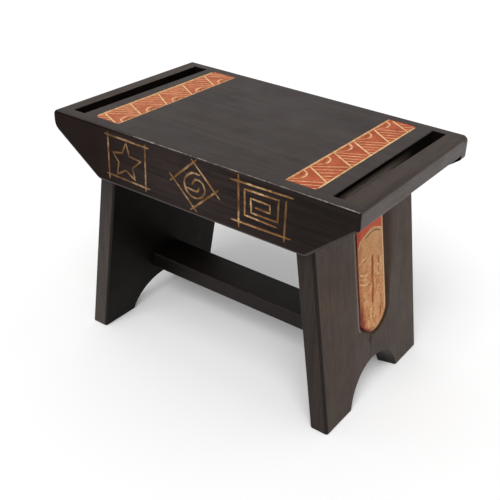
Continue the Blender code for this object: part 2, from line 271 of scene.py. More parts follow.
def rounded(corners):
    """The points of a closed outline whose corners are (across, up, radius), and sharp where that is 0."""
    points = []
    for index, (across, up, radius) in enumerate(corners):
        corner = Vector((across, up))
        if not radius:
            points.append(corner)
            continue
        before = (Vector(corners[index - 1][:2]) - corner).normalized()
        after = (Vector(corners[(index + 1) % len(corners)][:2]) - corner).normalized()
        half_angle = before.angle(after) / 2
        reach = radius / math.tan(half_angle)
        centre = corner + (before + after).normalized() * radius / math.sin(half_angle)
        start = math.atan2(*(corner + before * reach - centre).yx)
        stop = math.atan2(*(corner + after * reach - centre).yx)
        turn = math.remainder(stop - start, 2 * math.pi)
        for step in range(ROUND_STEPS + 1):
            angle = start + turn * step / ROUND_STEPS
            points.append(centre + Vector((math.cos(angle), math.sin(angle))) * radius)
    return points


def leg_outline():
    """The end view of a leg in mm: a plank with two feet beside an arch of one radius."""
    half_arch = LEG_ARCH_WIDTH / 2
    radius = (half_arch**2 + LEG_ARCH_RISE**2) / (2 * LEG_ARCH_RISE)
    drop = radius - LEG_ARCH_RISE
    half_sweep = math.atan2(half_arch, drop)
    corners = [
        (half_arch, 0, LEG_ARCH_FOOT_RADIUS),
        (leg_high.y, 0, 0),
        (leg_high.y, leg_high.z, 0),
        (leg_low.y, leg_high.z, 0),
        (leg_low.y, 0, 0),
        (-half_arch, 0, LEG_ARCH_FOOT_RADIUS),
    ]
    for step in range(1, LEG_ARCH_STEPS):
        angle = half_sweep * (2 * step / LEG_ARCH_STEPS - 1)
        corners.append((math.sin(angle) * radius, math.cos(angle) * radius - drop, 0))
    return rounded(corners)


def under_leg(edge):
    """Whether an edge of a leg runs along a sole or the arch."""
    half_arch = LEG_ARCH_WIDTH / 2 + LEG_ARCH_FOOT_RADIUS
    places = [corner.co for corner in edge.verts]
    return all(p.y < 0.01 or (abs(p.x) < half_arch and p.y < LEG_ARCH_RISE + 0.1) for p in places)


def lower_inside(shape, far_share):
    """Brings a leg's arch down towards the inner face, as it was sawn square to the leaning plank.

    The arch's far side comes in there too, to a share of its place on the outer face.
    """
    half_arch = LEG_ARCH_WIDTH / 2 + LEG_EDGE_RADIUS
    for corner in shape.verts:
        if abs(corner.co.x) < half_arch and corner.co.y < LEG_ARCH_RISE + LEG_EDGE_RADIUS + 1:
            inside = 1 - corner.co.z / leg_level_thickness
            corner.co.y *= 1 - (1 - LEG_ARCH_INNER_SHARE) * inside
            if corner.co.x > 0:
                corner.co.x *= 1 - (1 - far_share) * inside


# Masks
# A long mask stands in a scooped hollow of each leg's outer face, cut from the plank itself.
# It is painted tan with a red cap, and its features are gouged lines filled with cream and red paint.

MASK_CENTRE = 7.5
MASK_HALF_WIDTH = 28.3
MASK_CHIN = 74.4
MASK_CHIN_ROUND = 22.1
MASK_CHIN_LEAN = 8
MASK_SPINE_FOOT = MASK_CHIN + MASK_CHIN_ROUND
MASK_SPINE_TOP = 214.4
MASK_WALL_WIDTH = 0.9
LEG_INNER_SLOT = 2
MASK_PAINT_SLOT = 3
MASK_WALL_SLOT = 4
LEG_SIDE_SLOT = 5
LEG_RIM_SLOT = 6
MASK_RINGS = [0, 0.07, 0.14, 0.21, 0.28, 0.36, 0.44, 0.52, 0.60, 0.68, 0.76, 0.84, 0.91, 0.96, 1]
HOLLOW_RINGS = [0, 0.12, 0.25, 0.38, 0.52, 0.66, 0.79, 0.89, 1]
HOLLOW_NEAR_WIDTH = 6.3
HOLLOW_FAR_WIDTH = 22.5
HOLLOW_CHIN_WIDTH = 4.2
HOLLOW_RIM_WIDTH = 3.2
STATION_SPACING = 2.6


def smooth(share):
    share = min(max(share, 0), 1)
    return share * share * (3 - 2 * share)


def hollow_depth(up):
    """The hollow is an even depth, and runs out round the chin."""
    return 2.3 + 3.2 * smooth((up - MASK_CHIN) / MASK_CHIN_ROUND)


def hollow_width(side, up):
    """The hollow is a narrow cut on the near side (-1), and a wide scoop on the far side (1)."""
    near_rise = smooth((up - MASK_CHIN) / MASK_CHIN_ROUND)
    near = HOLLOW_CHIN_WIDTH + (HOLLOW_NEAR_WIDTH - HOLLOW_CHIN_WIDTH) * near_rise
    far = HOLLOW_CHIN_WIDTH + (HOLLOW_FAR_WIDTH - HOLLOW_CHIN_WIDTH) * smooth((up - MASK_CHIN) / 105)
    return near + (far - near) * (side + 1) / 2


def chin_lean(side, up):
    """How far the near side of the chin is cut in, which leaves the chin's point on the far side."""
    return MASK_CHIN_LEAN * max(-side, 0) * smooth((MASK_SPINE_FOOT - up) / MASK_CHIN_ROUND)


def swelling(across, up, centre, size, height):
    """A soft rise on the mask, such as an eyelid or a lip."""
    return height * math.exp(-(((across - centre[0]) / size[0]) ** 2) - ((up - centre[1]) / size[1]) ** 2)


def mask_height(across, up):
    """How far the mask stands out from the leg's face, in mm, at a place on it."""
    beyond = max(up - MASK_SPINE_TOP, 0) - max(MASK_SPINE_FOOT - up, 0) * MASK_HALF_WIDTH / MASK_CHIN_ROUND
    share = min(math.hypot(across - MASK_CENTRE, beyond) / MASK_HALF_WIDTH, 1)
    dome = -0.6 - 1.1 * share**3
    nose = 1.2 * math.exp(-(((across - 9.5) / 4) ** 2)) * smooth((up - 108) / 10) * smooth((178 - up) / 14)
    eyes = swelling(across, up, (-9, 147), (9, 9), 0.9) + swelling(across, up, (21, 149), (8, 10), 0.9)
    mouth = swelling(across, up, (7, 96), (9, 10), 0.9)
    brow = swelling(across, up, (6, 178), (24, 7), 0.6)
    return dome + (nose + eyes + mouth + brow) * (1 - share**6)


def mask_stations():
    """Places round the mask's spine, each with the way out from it and the reach of the rounds there."""
    side_steps = round((MASK_SPINE_TOP - MASK_SPINE_FOOT) / STATION_SPACING)
    round_steps = round(math.pi * MASK_HALF_WIDTH / STATION_SPACING)
    stations = []
    for side, start, stop, reach in (
        (1, MASK_SPINE_FOOT, MASK_SPINE_TOP, MASK_HALF_WIDTH),
        (-1, MASK_SPINE_TOP, MASK_SPINE_FOOT, MASK_CHIN_ROUND),
    ):
        for step in range(side_steps):
            stations.append((start + (stop - start) * step / side_steps, Vector((side, 0)), reach))
        for step in range(round_steps):
            angle = math.pi * step / round_steps
            stations.append((stop, side * Vector((math.cos(angle), math.sin(angle))), reach))
    return stations


def carve_mask(shape, face_place):
    """Replaces a leg's flat outer face by one with the hollow and the mask in it."""
    shape.faces.ensure_lookup_table()
    out = face_place.to_3x3() @ Vector((0, 0, 1))
    plain = max(shape.faces, key=lambda face: face.calc_area() if face.normal.dot(out) > 0.99 else 0)
    border = list(plain.edges)
    bmesh.ops.delete(shape, geom=[plain], context="FACES_ONLY")
    rings = [[] for _ in range(len(MASK_RINGS) + len(HOLLOW_RINGS) + 1)]
    stations = mask_stations()
    for spine, way, reach in stations:
        up = spine + way.y * reach
        edge = Vector((MASK_CENTRE + way.x * MASK_HALF_WIDTH + chin_lean(way.x, up), up))
        depth = hollow_depth(up)
        width = hollow_width(way.x, up)
        for ring, share in zip(rings, MASK_RINGS):
            up = spine + way.y * reach * share
            across = MASK_CENTRE + way.x * MASK_HALF_WIDTH * share + chin_lean(way.x, up)
            ring.append(shape.verts.new(face_place @ Vector((across, up, mask_height(across, up)))))
        for ring, share in zip(rings[len(MASK_RINGS):], HOLLOW_RINGS):
            place = edge + way * (MASK_WALL_WIDTH + (width - MASK_WALL_WIDTH) * share)
            rise = -depth * (1 - share) ** (1.5 + 0.5 * way.x)
            ring.append(shape.verts.new(face_place @ Vector((*place, rise))))
        border_place = edge + way * (width + HOLLOW_RIM_WIDTH)
        rings[-1].append(shape.verts.new(face_place @ Vector((*border_place, 0))))
    for index, (inner, outer) in enumerate(zip(rings, rings[1:])):
        slot = WOOD_SLOT
        if index < len(MASK_RINGS) - 1:
            slot = MASK_PAINT_SLOT
        elif index == len(MASK_RINGS) - 1:
            slot = MASK_WALL_SLOT
        for place, (_, way, _) in enumerate(stations):
            corners = (inner[place - 1], outer[place - 1], outer[place], inner[place])
            # The near rim takes the painted highlight.
            near_rim = outer is rings[-1] and way.x < -0.95
            shape.faces.new(corners).material_index = LEG_RIM_SLOT if near_rim else slot
    rim_edges = [shape.edges.get((a, b)) for a, b in zip(rings[-1], rings[-1][1:] + rings[-1][:1])]
    bmesh.ops.triangle_fill(shape, use_beauty=True, edges=border + rim_edges, normal=out)
    bmesh.ops.remove_doubles(shape, verts=rings[0], dist=0.0001)
    bmesh.ops.recalc_face_normals(shape, faces=shape.faces)


def old_paint(name, base, thin, thick, patch, bare=None, grit_size=1.4):
    """Matt paint brushed on by hand: uneven in strength, dry to look at, and thin enough to show flecks."""
    material = bpy.data.materials.new(name)
    material.use_nodes = True
    tree = material.node_tree
    shader = tree.nodes["Principled BSDF"]
    place = add_node(tree, "ShaderNodeTexCoord").outputs["Object"]
    clouds = add_node(
        tree, "ShaderNodeTexNoise", {"Vector": place, "Scale": 1000 / patch, "Detail": 5, "Roughness": 0.65}
    )
    # Brush grit, drawn coarse enough to show
    grit = add_node(
        tree,
        "ShaderNodeTexNoise",
        {"Vector": place, "Scale": 1000 / grit_size, "Detail": 3, "Roughness": 0.6},
    )
    coats = [(clouds, 0.50, 0.30, 1, thin), (clouds, 0.50, 0.68, 1, thick)]
    if bare:
        coats += [(grit, 0.53, 0.66, 0.6, bare), (grit, 0.46, 0.36, 0.6, thick)]
    colour = linear(base)
    for noise, none, full, most, coat in coats:
        share = add_node(
            tree,
            "ShaderNodeMapRange",
            {"Value": noise.outputs[0], "From Min": none, "From Max": full, "To Max": most},
        )
        mix = add_node(
            tree,
            "ShaderNodeMix",
            {"Factor": share.outputs[0], COLOUR_A: colour, COLOUR_B: linear(coat)},
            data_type="RGBA",
        )
        colour = mix.outputs[COLOUR_OUT]
    bump = add_node(tree, "ShaderNodeBump", {"Height": grit.outputs[0], "Strength": 0.5, "Distance": 0.0002})
    tree.links.new(colour, shader.inputs["Base Color"])
    tree.links.new(bump.outputs[0], shader.inputs["Normal"])
    shader.inputs["Roughness"].default_value = 0.62
    shader.inputs["Specular IOR Level"].default_value = 0.3
    return material


def mask_paint(name, side):
    """Tan paint with a red cap, pale at the far edge and dark red along the near edge low down; paler
    towards the brow as painted light.
    """
    material = old_paint(name, "#d28f58", "#b9743e", "#e4ad7c", 12, bare="#8c5428", grit_size=2.5)
    # Painted light: the tan turns paler towards the top of the mask, where the bar above shades it.
    tint_along(material, "Z", 0.14, 0.20, "#e9b17c", 0.6)
    tree = material.node_tree
    shader = tree.nodes["Principled BSDF"]
    place = add_node(tree, "ShaderNodeTexCoord").outputs["Object"]
    axes = add_node(tree, "ShaderNodeSeparateXYZ", {0: place})
    across = add_node(
        tree, "ShaderNodeMath", {0: axes.outputs["Y"], 1: side, 2: -0.011}, operation="MULTIPLY_ADD"
    )
    arch = add_node(tree, "ShaderNodeMath", {0: across.outputs[0], 1: 2}, operation="POWER")
    level = add_node(
        tree, "ShaderNodeMath", {0: arch.outputs[0], 1: 13.4, 2: axes.outputs["Z"]}, operation="MULTIPLY_ADD"
    )
    cap_share = add_node(
        tree,
        "ShaderNodeMapRange",
        {"Value": level.outputs[0], "From Min": 0.1978, "From Max": 0.1986},
    )
    # The dark red near edge and the pale far edge go by how far a place is from the mask's spine, as a share
    # of the way out
    spine_scale = (0, side * 1000 / MASK_HALF_WIDTH, 1000 / MASK_CHIN_ROUND)
    foot_height = MASK_SPINE_FOOT * math.cos(LEG_SPLAY)
    spine_foot = (0, -MASK_CENTRE / MASK_HALF_WIDTH, -foot_height / MASK_CHIN_ROUND)
    from_spine = add_node(
        tree, "ShaderNodeMapping", {"Vector": place, "Scale": spine_scale, "Location": spine_foot}
    )
    chin_only = add_node(
        tree, "ShaderNodeVectorMath", {0: from_spine.outputs[0], 1: (0, 9, 0)}, operation="MINIMUM"
    )
    way_out = add_node(tree, "ShaderNodeVectorMath", {0: chin_only.outputs[0]}, operation="LENGTH")
    sideways = add_node(tree, "ShaderNodeSeparateXYZ", {0: from_spine.outputs[0]}).outputs["Y"]
    blotch = add_node(
        tree, "ShaderNodeTexNoise", {"Vector": place, "Scale": 1000 / 7, "Detail": 4, "Roughness": 0.6}
    )
    far_edge = add_node(
        tree, "ShaderNodeMapRange", {"Value": sideways, "From Min": 0.84, "From Max": 0.95, "To Max": 0.75}
    )
    ragged = add_node(
        tree,
        "ShaderNodeMath",
        {0: blotch.outputs[0], 1: 0.5, 2: way_out.outputs["Value"]},
        operation="MULTIPLY_ADD",
    )
    near_edge = add_node(
        tree, "ShaderNodeMapRange", {"Value": ragged.outputs[0], "From Min": 0.92, "From Max": 1.10}
    )
    near_side = add_node(
        tree, "ShaderNodeMapRange", {"Value": sideways, "From Min": 0.0, "From Max": -0.45}
    )
    low_down = add_node(
        tree,
        "ShaderNodeMapRange",
        {"Value": axes.outputs["Z"], "From Min": 0.132, "From Max": 0.106, "To Min": 0.35},
    )
    near_low = add_node(
        tree, "ShaderNodeMath", {0: low_down.outputs[0], 1: near_side.outputs[0]}, operation="MULTIPLY"
    )
    near_dark_red_share = add_node(
        tree, "ShaderNodeMath", {0: near_edge.outputs[0], 1: near_low.outputs[0]}, operation="MULTIPLY"
    )
    colour = shader.inputs["Base Color"].links[0].from_socket
    for share, coat in ((cap_share, "#d85a35"), (far_edge, "#f0c79c"), (near_dark_red_share, "#8a301d")):
        mix = add_node(
            tree,
            "ShaderNodeMix",
            {"Factor": share.outputs[0], COLOUR_A: colour, COLOUR_B: linear(coat)},
            data_type="RGBA",
        )
        colour = mix.outputs[COLOUR_OUT]
    tree.links.new(colour, shader.inputs["Base Color"])
    return material


def along_curve(points, spacing):
    """Even steps along a smooth line through a few points."""
    placed = [Vector(point) for point in points]
    ends = [2 * placed[0] - placed[1], *placed, 2 * placed[-1] - placed[-2]]
    path = []
    for before, start, stop, after in zip(ends, ends[1:], ends[2:], ends[3:]):
        steps = max(2, round((stop - start).length / spacing))
        for step in range(steps):
            t = step / steps
            bend = 2 * start + (stop - before) * t
            bend += (2 * before - 5 * start + 4 * stop - after) * t * t
            bend += (3 * start - before - 3 * stop + after) * t**3
            path.append(bend / 2)
    return [*path, placed[-1]]


def gouge_strokes(strokes, width, depth, place, hand, surface=lambda across, up: 0):
    """V-shaped cuts of a hand-held gouge along lines on a face, as closed slivers to cut away.

    They swell and waver a little, and run out to a narrow point at both ends.
    """
    tool = bmesh.new()
    lift = 0.7
    for stroke in strokes:
        path = along_curve(stroke, 2.2) if len(stroke) > 2 else along_curve(stroke, 3.5)
        sections = []
        for index, point in enumerate(path):
            ahead = path[min(index + 1, len(path) - 1)]
            behind = path[max(index - 1, 0)]
            side = (ahead - behind).normalized().orthogonal()
            from_end = min(index, len(path) - 1 - index)
            swell = (0.35, 0.85, 1)[min(from_end, 2)] * hand.uniform(0.86, 1.14)
            middle = point + side * hand.uniform(-0.12, 0.12)
            half = width / 2 * swell * (1 + lift / (depth * swell))
            level = surface(*middle)
            corners = (
                (*(middle + side * half), level + lift),
                (*middle, level - depth * swell),
                (*(middle - side * half), level + lift),
            )
            sections.append([tool.verts.new(place @ Vector(corner)) for corner in corners])
        for first, second in zip(sections, sections[1:]):
            for one, two in ((0, 1), (1, 2), (2, 0)):
                tool.faces.new((first[one], first[two], second[two], second[one]))
        tool.faces.new(sections[0])
        tool.faces.new(reversed(sections[-1]))
    bmesh.ops.recalc_face_normals(tool, faces=tool.faces)
    return tool


MASK_BROW_STROKES = [
    [(-19, 187), (-15, 194), (-8.9, 197), (1, 199.7), (12, 200.7), (24.9, 196.7), (35.5, 191)],
]
MASK_CREAM_STROKES = [
    [(-20, 168), (-14, 171.2), (-7.5, 172.1), (2.9, 171.3)],
    [(-18.7, 157.5), (-14.5, 153.7), (-8.3, 151.7), (-1.5, 152.5)],
    [(-16.9, 150.1), (-11.8, 148.3), (-6.6, 147.3)],
    [(-19.6, 145.3), (-11.3, 140.9), (-6.1, 140.2), (-0.1, 141)],
    [(27.6, 161), (26.1, 154.6), (20.4, 153.8), (10.9, 158.1)],
    [(10.4, 157.2), (10.2, 148.4)],
    [(26.9, 149.8), (26.3, 141.5)],
    [(7.8, 149), (17.1, 143.3), (27.3, 140.2)],
    [(0.6, 107.6), (-1.2, 98), (-0.5, 91)],
    [(8.2, 99), (6.8, 94.5), (1.6, 90.3)],
    [(-6.4, 94.5), (-5.1, 83)],
    [(3.1, 87.5), (5.7, 79)],
    [(14, 84.5), (11.9, 79)],
]
MASK_NOSE_STROKES = [
    [(6.8, 171), (6.3, 160.7), (5.3, 150), (5.3, 140.8), (6, 133), (4.4, 120.6), (4.7, 110.5)],
    [(22, 100), (22.2, 85.9)],
]
MASK_RED_STROKES = [
    [(20.6, 164.4), (22.3, 159.1), (19.8, 155)],
    [(19.8, 152.4), (18.7, 145)],
    [(3.5, 94.5), (5.4, 89.5)],
]
# Painted shade: brown lines along the lower side of the raised cream ridges, such as under the brow ridge.
MASK_SHADE_STROKES = [
    [(-5.2, 194.5), (4.8, 197), (12.8, 197.4), (19.8, 196.2), (28.7, 192)],
    [(-12, 168.6), (-5, 169.4)],
    [(16.5, 139.8), (23.9, 136.8)],
    [(20.2, 123.7), (24.5, 121.3)],
    [(24.1, 115.3), (22.9, 105.2)],
    [(6.7, 107.7), (5.6, 100.1)],
    [(11.8, 91.9), (10.4, 88.2)],
    [(8.4, 87.5), (9.6, 80.5)],
]
CHIN_NOTCH = [[(-2.5, 75), (-6.5, 64)]]
cream_paint = old_paint("cream_groove_paint", "#e3bb86", "#bd8a54", "#f0d2a4", 5)
red_paint = old_paint("red_groove_paint", "#a05430", "#824022", "#b06c42", 6)
# Brown groove paint: real paint in the bands' small arcs, painted shade in the mask's brown lines.
brown_paint_and_shade = old_paint("brown_groove_paint_and_painted_shade", "#8a5c2e", "#6e4522", "#a0713e", 6)
# The mask's steep side wall all round is brown-red: partly its own stain, partly painted shade where it
# stands in the hollow.
mask_wall_paint_and_shade = old_paint("mask_wall_brown_red_and_painted_shade", "#7a4028", "#4a271a", "#94543a", 8)

face_place = Matrix(
    (
        (0, -math.sin(LEG_SPLAY), math.cos(LEG_SPLAY), leg_floor_edge),
        (1, 0, 0, 0),
        (0, math.cos(LEG_SPLAY), math.sin(LEG_SPLAY), 0),
        (0, 0, 0, 1),
    )
)
leaning = Matrix(
    (
        (0, -LEG_SLOPE, 1, leg_floor_edge - leg_level_thickness),
        (1, 0, 0, 0),
        (0, 1, 0, 0),
        (0, 0, 0, 1),
    )
)
boards = {}
for leg_name, side, side_wood, far_share in (
    ("right_leg", 1, right_side_shaded_wood, LEG_ARCH_FAR_SHARE),
    ("left_leg", -1, left_side_lit_and_shaded_wood, 1),
):
    shape = sawn_board(leg_outline(), leg_level_thickness)
    edges = rim(shape, 0) + rim(shape, leg_level_thickness)
    ease(shape, [edge for edge in edges if not under_leg(edge)], LEG_EDGE_RADIUS)
    below = [edge for edge in shape.edges if under_leg(edge) and edge.calc_face_angle(0) > 0.7]
    ease(shape, below, LEG_SOLE_RADIUS)
    # Painted shade: the inner face and the downward faces, soles and arch, take near-black finishes.
    for face in shape.faces:
        if face.normal.z < -0.9:
            face.material_index = LEG_INNER_SLOT
        # The narrow sides take each leg's own copy, with painted light and shade.
        elif abs(face.normal.x) > 0.99:
            face.material_index = LEG_SIDE_SLOT
        elif face.normal.y < -0.01:
            face.material_index = EDGE_SLOT
    lower_inside(shape, far_share)
    bmesh.ops.transform(shape, matrix=leaning, verts=shape.verts)
    carve_mask(shape, face_place)
    turned = Matrix.Rotation(0 if side > 0 else math.pi, 4, "Z")
    finishes = [leg_wood, leg_edge_shade_wood, leg_inner_shade_wood, mask_paint(leg_name + "_mask_paint", side)]
    finishes += [mask_wall_paint_and_shade, side_wood, leg_rim_highlight_wood]
    leg = add_board(leg_name + "_plank", shape, turned, finishes)
    hand = random.Random(leg_name)
    for strokes, width, depth, paint in (
        (MASK_SHADE_STROKES, 1.3, 0.5, brown_paint_and_shade),
        (MASK_NOSE_STROKES, 2.9, 0.9, red_paint),
        (MASK_RED_STROKES, 2.1, 0.8, red_paint),
        (MASK_CREAM_STROKES, 2.0, 0.7, cream_paint),
        (MASK_BROW_STROKES, 2.4, 0.7, cream_paint),
    ):
        cut(leg, gouge_strokes(strokes, width, depth, turned @ face_place, hand, mask_height), paint)
    cut(leg, gouge_strokes(CHIN_NOTCH, 6, 1.6, turned @ face_place, hand), leg_wood)
    boards[leg_name] = leg

# Stretcher
# A flat rail of the same stained hardwood between the legs, which keeps them from spreading.
# Its shoulders follow the legs' lean, and a stub tenon at each end sits in a blind mortise.

TENON_LENGTH = 12
TENON_WIDTH = 30
TENON_THICKNESS = 10
STRETCHER_EDGE_RADIUS = 1.8
FIT = 0.3
UPRIGHT = Matrix(((1, 0, 0, 0), (0, 0, -1, 0), (0, 1, 0, 0), (0, 0, 0, 1)))

rail_low, rail_high = [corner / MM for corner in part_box("stretcher")]
rail_middle = (rail_low.z + rail_high.z) / 2


def leg_inner_face(height):
    return leg_floor_edge - leg_level_thickness - LEG_SLOPE * height


def tenon_bar(clearance):
    """A bar from tenon end to tenon end, in mm: the tenons, or the space of their mortises."""
    length = 2 * (leg_inner_face(rail_middle) + TENON_LENGTH + clearance)
    bar = bmesh.new()
    size = (length, TENON_WIDTH + 2 * clearance, TENON_THICKNESS + 2 * clearance, 1)
    place = Matrix.Translation((0, 0, rail_middle)) @ Matrix.Diagonal(size)
    bmesh.ops.create_cube(bar, size=1, matrix=place)
    return bar


rail_wood = dark_stained_hardwood("stretcher_dark_stained_hardwood", 0, "#17110f", "#281f1b", 0.15)
rail_rubbed = dark_stained_hardwood(
    "stretcher_rubbed_hardwood", 0, "#17110f", "#281f1b", 0.25, rubbed="#3a2f29"
)
tint_along(rail_wood, "X", -0.03, -0.11, "#090706", 0.8)
rail_lower = leg_inner_face(rail_low.z) - 0.02
rail_upper = leg_inner_face(rail_high.z) - 0.02
shape = sawn_board(
    (
        (-rail_lower, rail_low.z),
        (rail_lower, rail_low.z),
        (rail_upper, rail_high.z),
        (-rail_upper, rail_high.z),
    ),
    rail_high.y - rail_low.y,
)
long_edges = [e for e in rim(shape, 0) + rim(shape, rail_high.y - rail_low.y) if e.calc_length() > 100]
ease(shape, long_edges, STRETCHER_EDGE_RADIUS)
boards["stretcher"] = add_board(
    "stretcher_rail",
    shape,
    Matrix.Translation((0, rail_high.y, 0)) @ UPRIGHT,
    [rail_wood, rail_rubbed],
)
cut(boards["stretcher"], tenon_bar(0), operation="UNION")
for leg_name in ("right_leg", "left_leg"):
    cut(boards[leg_name], tenon_bar(FIT))

# Seat board
# One wide hardwood plank between the aprons, stained and waxed, with a hand slot left at each end.
# A band across each end is painted terracotta, under triangles and arcs gouged out and filled with cream.

SEAT_END_RADIUS = 1.3
SEAT_LEFT_FLARE = 3
SLOT_WALL_SLOT = 1
BAND_HALF_LENGTH = 104.6
BAND_RECESS = 0.35
RIGHT_BAND = (108.6, 142.2)
RIGHT_BARS = ((-105, -126), (-62.8, -84.1), (-17.2, -37.5), (22.4, 1.5), (67, 43), (106, 84.7), (148, 127))
LEFT_BAND = (114.6, 148)
BAND_CORNER_RADIUS = 3.5
LEFT_BARS = ((-105, -126), (-62.8, -84.1), (-20.6, -41), (24.3, 3), (67.3, 50), (105.5, 90.5), (148, 133))
HATCH_LINES = 5
ARC_SIZES = ((11.5, 9), (6, 4.5))

seat_low, seat_high = [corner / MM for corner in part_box("seat_board")]
apron_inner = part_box("rear_apron")[0].y / MM
seat_half_depth = apron_inner - 0.02

top_wood = dark_stained_hardwood("seat_dark_stained_hardwood", 0, "#261c18", "#392d28", 0.43)
# The front apron's top edge: worn pale patches and a painted highlight, whitish and glossy.
top_edge_wear_and_highlight = dark_stained_hardwood("front_edge_wear_and_painted_highlight", 0, "#3a312e", "#554b47", 0.6, rubbed="#b3aca8")
# Painted light and shade on the seat's ends inside the hand slots: lit brown low down, near black along the
# top and towards the back.
slot_wall_light_and_shade = dark_stained_hardwood("slot_walls_painted_light_and_shade", 1, "#61564f", "#776c65", 0)
tint_along(slot_wall_light_and_shade, "Z", 0.276, 0.283, "#0b0807", 1)
tint_along(slot_wall_light_and_shade, "Y", 0, 0.06, "#151210", 1)
hatch_paint = old_paint("tan_groove_paint", "#d9a873", "#b57c4a", "#e9c595", 5)
terracotta_paint = old_paint("terracotta_band_paint", "#b45433", "#984226", "#c46742", 16, bare="#8b3a22")
faded_terracotta = old_paint("faded_band_paint", "#bb6543", "#a35234", "#ca7a53", 16, bare="#984a2e")


def clipped(start, stop):
    """The stretch of a band's line that lies within the band's length, or nothing."""
    limits = []
    for end in (start, stop):
        limits.append(min(max(end[1], -BAND_HALF_LENGTH + 0.8), BAND_HALF_LENGTH - 0.8))
    if abs(limits[1] - limits[0]) < 2:
        return None
    slope = (stop[0] - start[0]) / (stop[1] - start[1])
    return [(start[0] + (y - start[1]) * slope, y) for y in limits]


def band_strokes(inner, outer, bar_places):
    """A band's lines: its two borders, bars and hatching, and its arcs' bold ends, thin ends and cores."""
    outer_end = BAND_HALF_LENGTH - BAND_CORNER_RADIUS
    inner_border = [[(inner, -BAND_HALF_LENGTH), (inner, BAND_HALF_LENGTH)]]
    outer_border = [[(outer, -outer_end), (outer, outer_end)]]
    bars, hatching, bold_ends, thin_ends, small_arcs = [], [], [], [], []
    for (start, start_out), (stop, stop_out) in zip(bar_places, bar_places[1:]):
        bars.append(clipped((inner, start), (outer, start_out)))
        for line in range(HATCH_LINES):
            share = line / HATCH_LINES
            low = (inner + (outer - inner) * share, start + (start_out - start) * share)
            high = (outer, stop_out + (start_out - stop_out) * share)
            ends = [[low[i] + (high[i] - low[i]) * along for i in (0, 1)] for along in (0.04, 0.95)]
            hatching.append(clipped(*ends))
        middle = start + (stop - start) * 0.45
        if middle < BAND_HALF_LENGTH:
            turns = [math.pi * step / 8 for step in range(9)]
            large, small = (
                [(inner + bulge * math.sin(t), middle - half_length * math.cos(t)) for t in turns]
                for half_length, bulge in ARC_SIZES
            )
            bold_ends.append(large[3:])
            thin_ends.append(large[:4])
            small_arcs.append(small)
    lines = (inner_border, outer_border, bars, hatching, bold_ends, thin_ends, small_arcs)
    return ([line for line in same_kind if line] for same_kind in lines)


shape = sawn_board(
    (
        (seat_low.x - SEAT_LEFT_FLARE, -seat_half_depth),
        (seat_high.x, -seat_half_depth),
        (seat_high.x, seat_half_depth),
        (seat_low.x, seat_half_depth),
    ),
    seat_high.z - seat_low.z,
)
end_edges = []
for edge in shape.edges:
    way = edge.verts[0].co - edge.verts[1].co
    if abs(way.x) < 5 and abs(way.y) > 1:
        end_edges.append(edge)
ease(shape, end_edges, SEAT_END_RADIUS)
# The seat's ends, the walls of the hand slots, take the painted light and shade.
for face in shape.faces:
    face.material_index = SLOT_WALL_SLOT if abs(face.normal.x) > 0.9 else WOOD_SLOT
seat = add_board(
    "seat_plank", shape, Matrix.Translation((0, 0, seat_low.z)), [top_wood, slot_wall_light_and_shade]
)
boards["seat_board"] = seat
hand = random.Random("bands")
for (inner, outer), bar_places, turn, front_round, ground, border_paint in (
    (RIGHT_BAND, RIGHT_BARS, 0, 0, terracotta_paint, cream_paint),
    (LEFT_BAND, LEFT_BARS, math.pi, BAND_CORNER_RADIUS, faded_terracotta, hatch_paint),
):
    on_seat = Matrix.Rotation(turn, 4, "Z") @ Matrix.Translation((0, 0, seat_high.z))
    in_band = on_seat @ Matrix.Translation((0, 0, -BAND_RECESS))
    corners = (
        (inner, -BAND_HALF_LENGTH, 0),
        (outer, -BAND_HALF_LENGTH, front_round),
        (outer, BAND_HALF_LENGTH, BAND_CORNER_RADIUS),
        (inner, BAND_HALF_LENGTH, 0),
    )
    recess = sawn_board(rounded(corners), 2 * BAND_RECESS)
    bmesh.ops.transform(recess, matrix=in_band, verts=recess.verts)
    cut(seat, recess, ground)
    lines = band_strokes(inner, outer, bar_places)
    inner_border, outer_border, bars, hatching, bold_ends, thin_ends, small_arcs = lines
    for strokes, width, paint in (
        (small_arcs, 1.2, brown_paint_and_shade),
        (thin_ends, 1.1, hatch_paint),
        (hatching, 1.4, hatch_paint),
        (inner_border, 1.6, hatch_paint),
        (bold_ends, 2.0, cream_paint),
        (outer_border, 1.9, border_paint),
        (bars, 2.2, cream_paint),
    ):
        cut(seat, gouge_strokes(strokes, width, 0.7, in_band, hand), paint)

# Aprons
# Two boards as tall as the seat's edge, pegged along its long sides, with noses that slant in to the legs.
# A star, a spiral in a diamond and a square spiral are gouged into the face and filled with gold ochre.

APRON_NOSE_DROP = 20
APRON_REAR_NOSE_DROP = 25
APRON_REAR_TOP_RADII = (6.5, 5.5)
APRON_NOSE_RADII = (14, 4)
APRON_FOOT_RADIUS = 12
APRON_TOP_RADII = (5.5, 3.4)
APRON_FRONT_FEET = (134.2, 144.2)
APRON_EDGE_RADIUS = 3.1
SEAT_TOP_SLOT = 2
BAR_END_SLOT = 3
UNDER_EDGE_SLOT = 4
APRON_BACK_SLOT = 5

